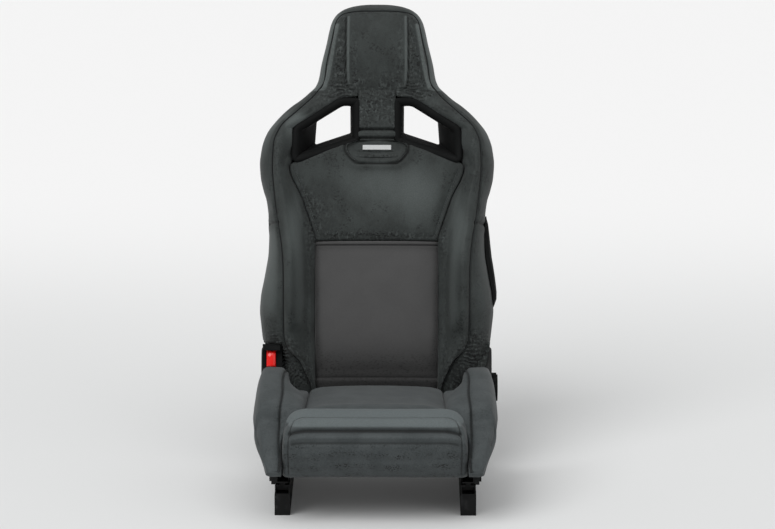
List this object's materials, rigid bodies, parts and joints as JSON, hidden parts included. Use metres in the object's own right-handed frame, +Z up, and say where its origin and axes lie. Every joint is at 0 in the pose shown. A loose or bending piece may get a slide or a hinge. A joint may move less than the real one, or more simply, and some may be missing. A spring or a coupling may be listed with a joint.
{
  "type": "reclining sports car seat",
  "caption": "Reclining sports seat on slide rails, with an integrated headrest, belt openings, deep side bolsters, a hand wheel recliner and a red fold-forward lever.",
  "frame": {"origin": "centre of the four floor bolt holes, on the floor plane", "axes": "+Z up, the seat faces -Y, +X is on the right seen from the front"},
  "size_m": [0.554, 0.8238, 1.049],
  "materials": {
    "frame_steel": "black e-coat",
    "zinc_steel": "zinc plated",
    "black_plastic": "moulded grain",
    "suede": "microfibre suede",
    "panel_cloth": "woven cloth",
    "cushion_cloth": "microfibre suede, lighter",
    "lever_red": "gloss",
    "tag_grey": "satin"
  },
  "bodies": {
    "floor_frame": {"riser_left": "frame_steel", "riser_right": "frame_steel", "lower_rail_left": "frame_steel", "lower_rail_right": "frame_steel", "rail_screws": "zinc_steel"},
    "ball_cages": {"ball_cage_left": "zinc_steel", "ball_cage_right": "zinc_steel"},
    "seat": {"upper_rail_left": "zinc_steel", "upper_rail_right": "zinc_steel", "seat_side_left": "frame_steel", "seat_side_right": "frame_steel", "frame_bolts": "zinc_steel", "slide_latch_left": "frame_steel", "slide_latch_right": "frame_steel", "seat_cross_tubes": "frame_steel", "seat_pan": "frame_steel", "side_valance_left": "black_plastic", "side_valance_right": "black_plastic", "recliner_plate_left": "frame_steel", "recliner_plate_right": "frame_steel", "recliner_lower_left": "zinc_steel", "recliner_lower_right": "zinc_steel", "cushion_centre_pad": "cushion_cloth", "cushion_front_roll": "cushion_cloth", "cushion_bolster_left": "cushion_cloth", "cushion_bolster_right": "cushion_cloth"},
    "slide_release": {"release_bar": "frame_steel"},
    "recliner_drive": {"sync_shaft": "zinc_steel", "hand_wheel": "black_plastic"},
    "recliner_arms": {"recliner_upper_left": "zinc_steel", "recliner_upper_right": "zinc_steel", "recliner_arm_left": "frame_steel", "recliner_arm_right": "frame_steel"},
    "backrest": {"back_bracket_left": "frame_steel", "back_bracket_right": "frame_steel", "back_hoop": "frame_steel", "back_cross_tubes": "frame_steel", "suspension_mat": "zinc_steel", "rear_shell_lower": "black_plastic", "rear_shell_upper": "black_plastic", "shell_screws": "frame_steel", "belt_bezel_left": "black_plastic", "belt_bezel_right": "black_plastic", "recliner_cover_left": "black_plastic", "recliner_cover_right": "black_plastic", "side_module_cover": "black_plastic", "release_cable": "black_plastic", "lumbar_pad": "panel_cloth", "shoulder_pad": "suede", "neck_pad": "suede", "headrest_pad": "suede", "back_bolster_left": "suede", "back_bolster_right": "suede", "shoulder_arm_left": "suede", "shoulder_arm_right": "suede", "tag_patch": "suede", "tag_bar": "tag_grey", "lever_bezel": "black_plastic", "lever_pin": "zinc_steel"},
    "fold_release": {"fold_lever": "lever_red"}
  },
  "joints": [
    {"name": "seat_slide", "type": "slide", "parent": "floor_frame", "child": "seat", "axis": [0, 1, 0], "range_m": [-0.1, 0.1]},
    {"name": "cage_slide", "type": "slide", "parent": "floor_frame", "child": "ball_cages", "axis": [0, 1, 0], "range_m": [-0.05, 0.05]},
    {"name": "slide_bar", "type": "hinge", "parent": "seat", "child": "slide_release", "pos_m": [0, -0.096, 0.098], "axis": [-1, 0, 0], "range_deg": [0, 6], "stiffness_Nm_per_rad": 3},
    {"name": "recline", "type": "hinge", "parent": "seat", "child": "recliner_arms", "pos_m": [0, 0.185, 0.19], "axis": [-1, 0, 0], "range_deg": [-10, 35]},
    {"name": "recline_wheel", "type": "hinge", "parent": "seat", "child": "recliner_drive", "pos_m": [0, 0.185, 0.19], "axis": [-1, 0, 0], "range_deg": [-180, 630]},
    {"name": "backrest_fold", "type": "hinge", "parent": "recliner_arms", "child": "backrest", "pos_m": [0, 0.185, 0.19], "axis": [1, 0, 0], "range_deg": [0, 35]},
    {"name": "fold_lever_pull", "type": "hinge", "parent": "backrest", "child": "fold_release", "pos_m": [-0.243, 0.15613, 0.2856], "axis": [-1, 0, 0], "range_deg": [0, 25], "stiffness_Nm_per_rad": 0.3}
  ],
  "couplings": [
    {"joint": "cage_slide", "follows": "seat_slide", "ratio": 0.5},
    {"joint": "recline_wheel", "follows": "recline", "ratio": 18}
  ]
}
